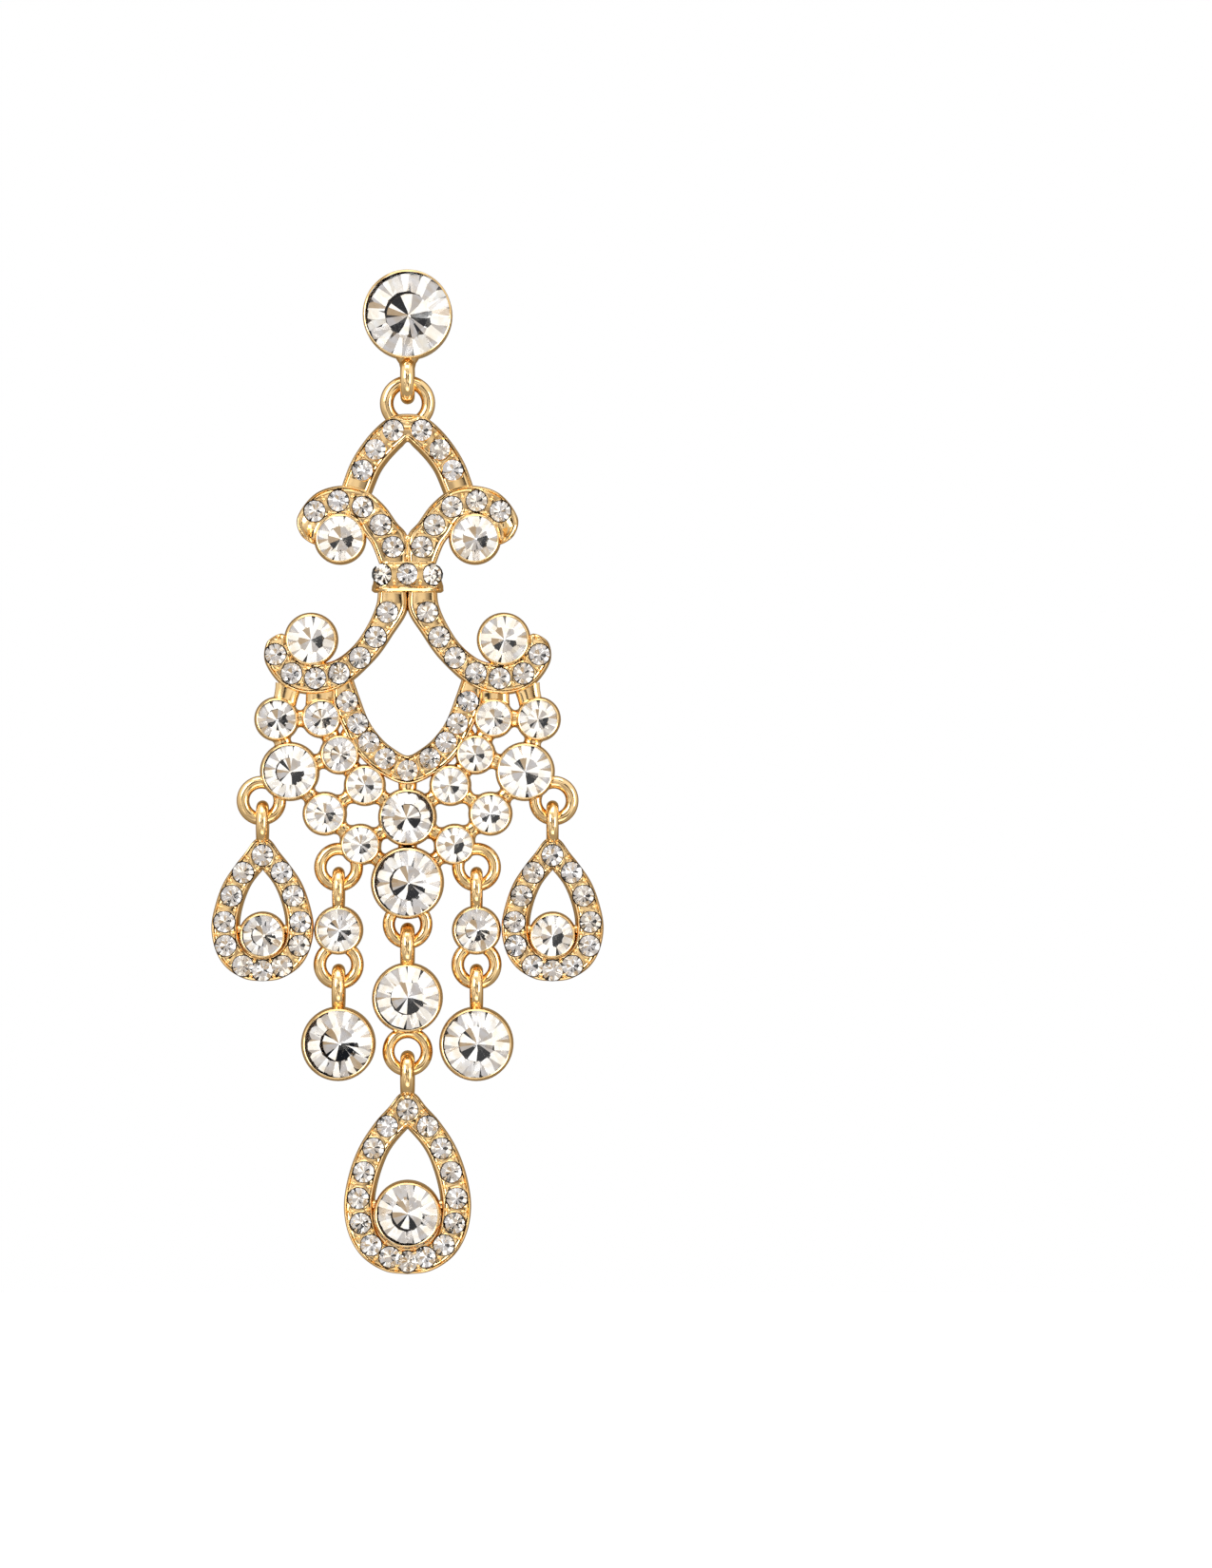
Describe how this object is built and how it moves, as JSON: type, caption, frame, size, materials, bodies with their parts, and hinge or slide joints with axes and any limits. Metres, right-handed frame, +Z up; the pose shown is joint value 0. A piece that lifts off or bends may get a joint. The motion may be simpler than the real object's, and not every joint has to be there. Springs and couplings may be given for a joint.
{
  "type": "chandelier earring",
  "caption": "Drop earring: a stone-set stud, a paved openwork frame with scrolls and a lattice of cups, and pear and round stone drops hanging on rings.",
  "frame": {"origin": "where the ear post leaves the flat back of the stud, on the post's axis, at the front of the ear lobe", "axes": "+Z up along the hanging drop, +X to the viewer's right, +Y backwards along the ear post, so the front of the earring looks along -Y"},
  "size_m": [0.033, 0.0157, 0.0845],
  "materials": {
    "gold": "polished light gold plating on cast brass",
    "crystal": "faceted clear glass with a mirror foil back"
  },
  "bodies": {
    "stud": {"stud_setting": "gold", "stud_stone": "crystal"},
    "drop": {"frame": "gold", "stone_curl_R": "crystal", "stone_scroll_R": "crystal", "stone_row1_outer_R": "crystal", "stone_row1_inner_R": "crystal", "stone_row2_outer_R": "crystal", "stone_row2_inner_R": "crystal", "stone_row3_inner_R": "crystal", "stone_row3_outer_R": "crystal", "stone_row4_R": "crystal", "stone_curl_L": "crystal", "stone_scroll_L": "crystal", "stone_row1_outer_L": "crystal", "stone_row1_inner_L": "crystal", "stone_row2_outer_L": "crystal", "stone_row2_inner_L": "crystal", "stone_row3_inner_L": "crystal", "stone_row3_outer_L": "crystal", "stone_row4_L": "crystal", "stone_centre_upper": "crystal", "stone_centre_lower": "crystal", "centre_link": "gold", "centre_link_stone": "crystal", "centre_pear": "gold", "centre_pear_stone": "crystal", "side_pear_L": "gold", "side_pear_L_stone": "crystal", "link_L": "gold", "link_L_stone": "crystal", "round_drop_L": "gold", "round_drop_L_stone": "crystal", "side_pear_R": "gold", "side_pear_R_stone": "crystal", "link_R": "gold", "link_R_stone": "crystal", "round_drop_R": "gold", "round_drop_R_stone": "crystal"}
  },
  "joints": [
    {"name": "drop_swing", "type": "hinge", "parent": "stud", "child": "drop", "pos_m": [0, -0.0022, -0.0057], "axis": [1, 0, 0], "range_deg": [-60, 60]}
  ]
}
